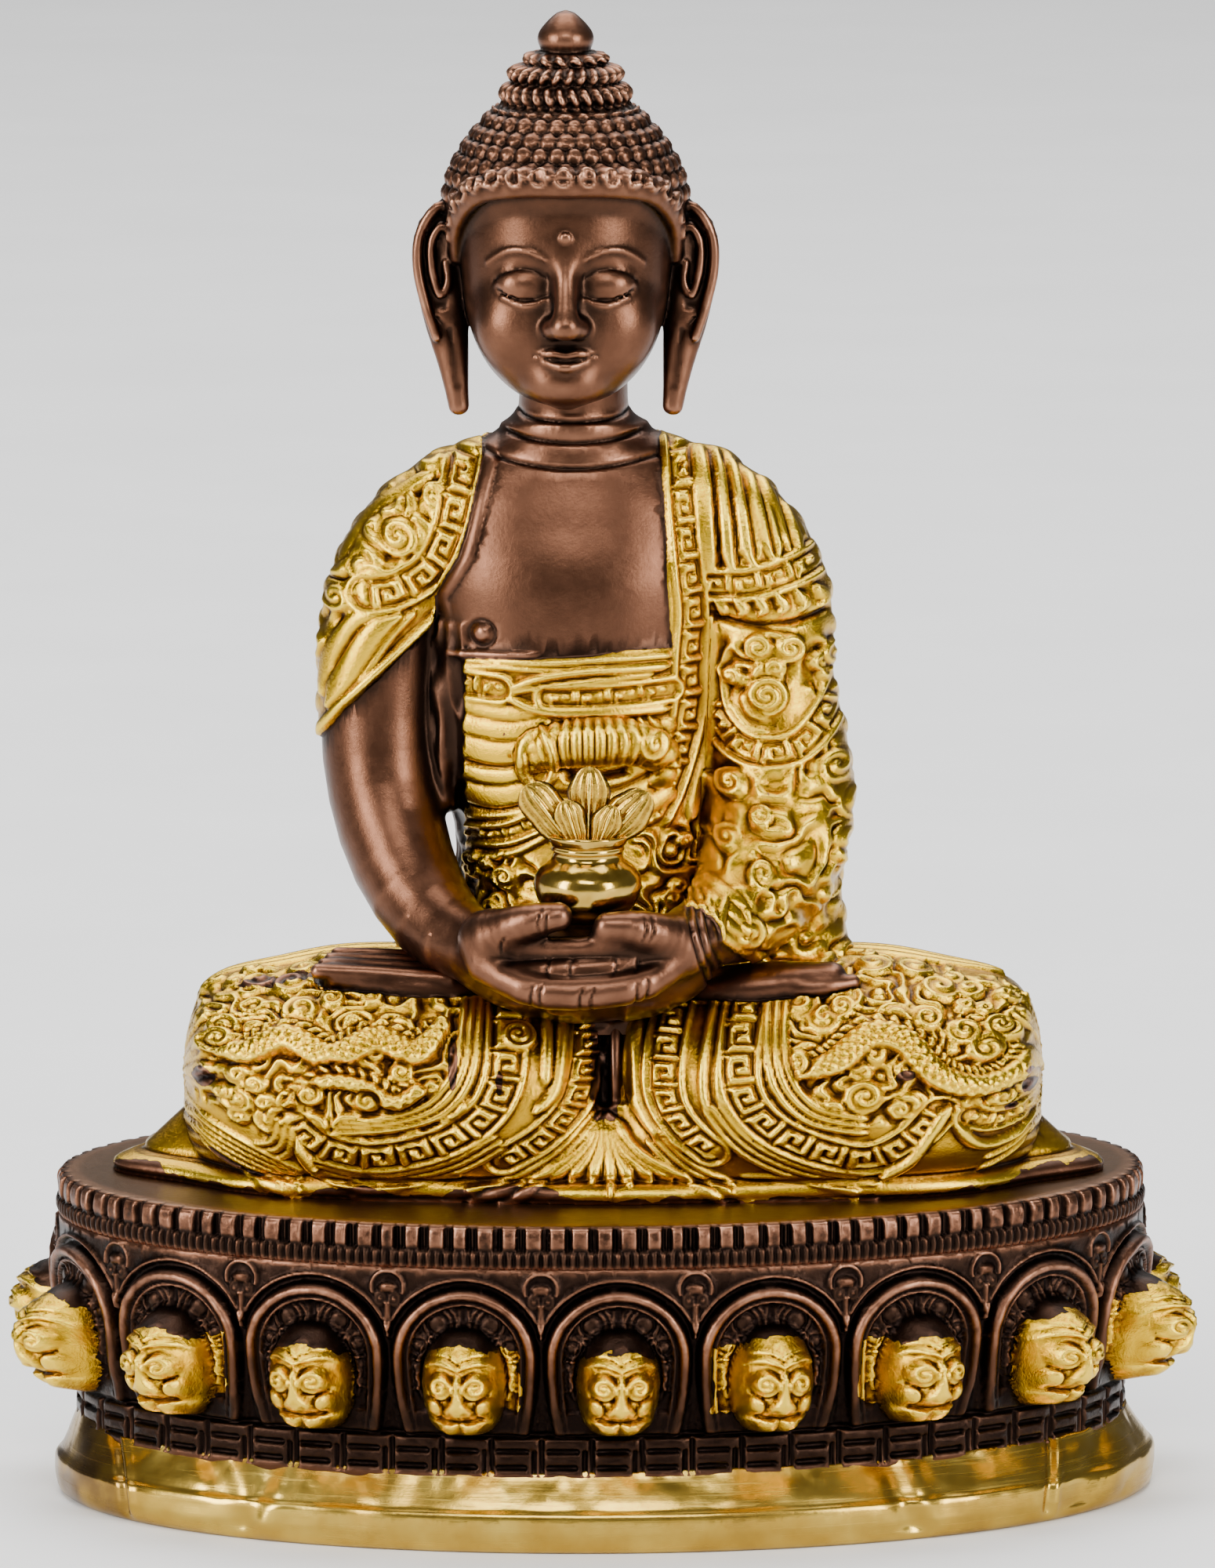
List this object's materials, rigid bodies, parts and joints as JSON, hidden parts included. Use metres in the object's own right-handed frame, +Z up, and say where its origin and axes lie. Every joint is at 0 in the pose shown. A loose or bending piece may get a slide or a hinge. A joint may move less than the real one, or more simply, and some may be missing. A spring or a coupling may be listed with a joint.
{
  "type": "brass buddha statue",
  "caption": "Seated robed buddha in two-tone cast brass, an alms bowl of leaves in its lap, on an oval lotus plinth with face bosses and a folded brass foot sheet.",
  "frame": {"origin": "middle of the underside of the foot sheet", "axes": "+Z up to the finial, -Y the way the figure faces, +X to the viewer's right"},
  "size_m": [0.1692, 0.1098, 0.2156],
  "materials": {
    "figure_brass": "antiqued brown skin with a gold painted robe, gold worn and missing in the recesses",
    "bowl_brass": "polished bowl with matt gold leaves",
    "plinth_brass": "dark antiqued brown rubbed to copper on the high places, with gold painted bosses",
    "sheet_brass": "bright thin sheet, dented and scratched"
  },
  "bodies": {
    "root": {"seated_figure": "figure_brass", "alms_bowl": "bowl_brass", "lotus_plinth": "plinth_brass", "foot_sheet": "sheet_brass"}
  },
  "joints": []
}
